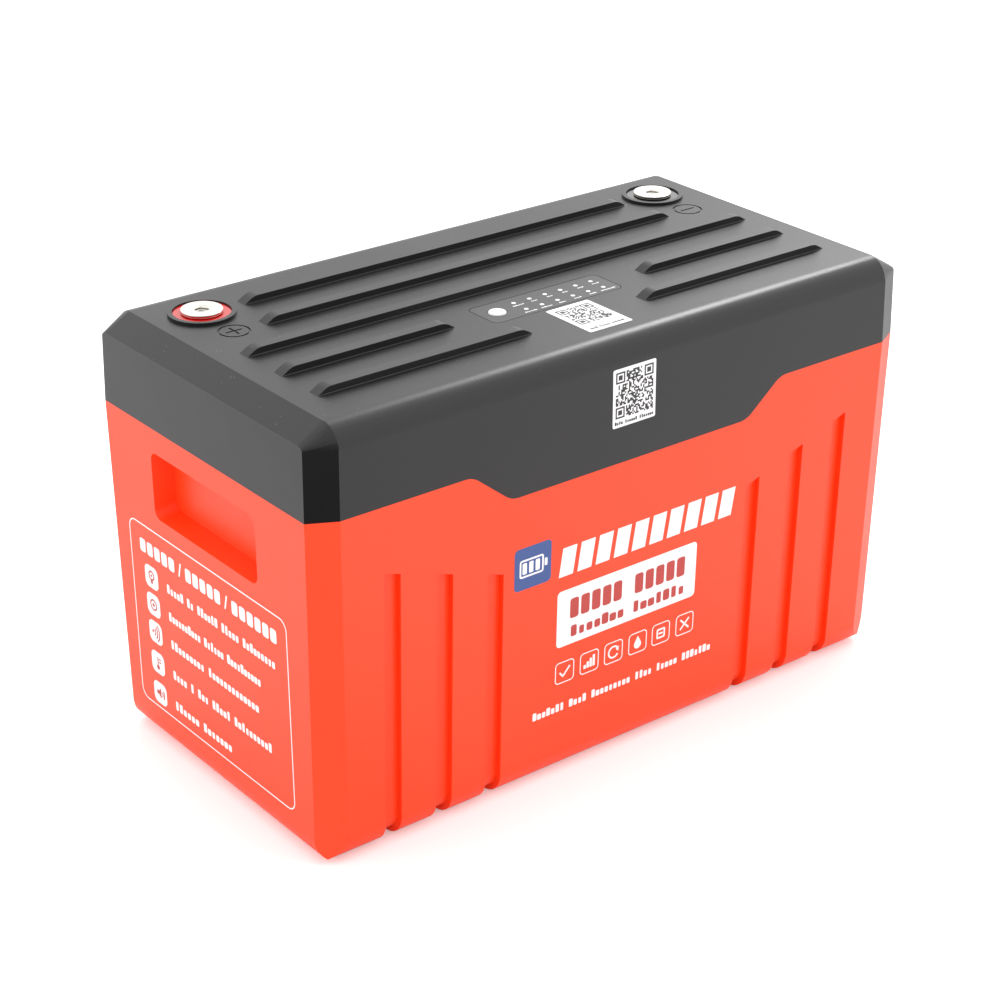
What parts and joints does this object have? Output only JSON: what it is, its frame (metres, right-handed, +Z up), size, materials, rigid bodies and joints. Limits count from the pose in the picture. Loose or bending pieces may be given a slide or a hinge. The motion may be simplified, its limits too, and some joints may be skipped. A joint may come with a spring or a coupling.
{
  "type": "deep cycle battery",
  "caption": "Rectangular deep cycle battery in a two-part moulded housing with ribbed deck, threaded terminals, grip pockets, state indicator and push button.",
  "frame": {"origin": "centre of the base, on the surface the battery stands on", "axes": "+X along the length towards the negative terminal, +Y towards the long side that the terminals are nearer to, +Z up"},
  "size_m": [0.383, 0.1956, 0.2386],
  "materials": {
    "case_plastic": "satin fine-grained moulded plastic",
    "cover_plastic": "satin fine-grained moulded plastic",
    "film": "printed overlay film",
    "seal_rubber": "black rubber",
    "terminal_metal": "bright nickel plating",
    "ring_red": "gloss",
    "ring_black": "gloss",
    "zinc_steel": "zinc-plated",
    "spring_steel": "bright",
    "lens_clear": "frosted clear",
    "button_white": "satin",
    "black_plastic": "satin",
    "circuit_board": "solder mask over glass laminate",
    "led_white": "moulded",
    "ribbon_grey": "flat ribbon jacket",
    "label_white": "satin printed film",
    "cell_wrap": "blue film over an aluminium can",
    "sheet_ivory": "fibre sheet",
    "laminate_yellow": "glass-fibre laminate",
    "aluminium_plate": "mill finish",
    "steel_band": "bright band",
    "foam": "closed-cell foam",
    "copper": "tin-free copper",
    "carrier_plastic": "moulded plastic",
    "connector_plastic": "moulded plastic",
    "radio_board": "blue solder mask with a metal can",
    "cable_black": "cable jacket",
    "wire_red": "wire jacket"
  },
  "bodies": {
    "battery": {"case": "case_plastic", "cover": "cover_plastic", "cover_seal": "seal_rubber", "positive_terminal": "terminal_metal", "negative_terminal": "terminal_metal", "positive_ring": "ring_red", "negative_ring": "ring_black", "terminal_seals": "seal_rubber", "terminal_washers": "zinc_steel", "terminal_nuts": "zinc_steel", "terminal_screws": "zinc_steel", "indicator_film": "film", "indicator_lenses": "lens_clear", "switch_dome": "spring_steel", "switch_housing": "black_plastic", "display_board": "circuit_board", "display_leds": "led_white", "display_screws": "zinc_steel", "buzzer": "black_plastic", "display_cable": "ribbon_grey", "deck_label": "label_white", "side_label": "label_white", "cell_1": "cell_wrap", "cell_2": "cell_wrap", "cell_3": "cell_wrap", "cell_4": "cell_wrap", "cell_5": "cell_wrap", "cell_6": "cell_wrap", "cell_7": "cell_wrap", "cell_8": "cell_wrap", "cell_sheets": "sheet_ivory", "cell_top_plate": "laminate_yellow", "end_plate_left": "aluminium_plate", "end_plate_right": "aluminium_plate", "cell_straps": "steel_band", "bottom_pad": "foam", "end_pads": "foam", "cell_links": "copper", "link_screws": "zinc_steel", "positive_link": "copper", "board_carrier": "carrier_plastic", "bms_board": "circuit_board", "bms_transistors": "black_plastic", "bms_heatsink": "aluminium_plate", "bms_connectors": "connector_plastic", "bms_screws": "zinc_steel", "bms_posts": "copper", "bms_nuts": "zinc_steel", "wireless_module": "radio_board", "supply_cable": "cable_black", "pack_cable": "cable_black", "cable_lugs": "copper", "sense_wires": "wire_red", "temperature_probes": "black_plastic"},
    "button": {"state_button": "button_white", "switch_plunger": "black_plastic"}
  },
  "joints": [
    {"name": "state_button_press", "type": "slide", "parent": "battery", "child": "button", "axis": [0, 0, -1], "range_m": [0, 0.0008], "stiffness_N_per_m": 600, "springref_m": -0.0005, "deforming": ["switch_dome"]}
  ]
}
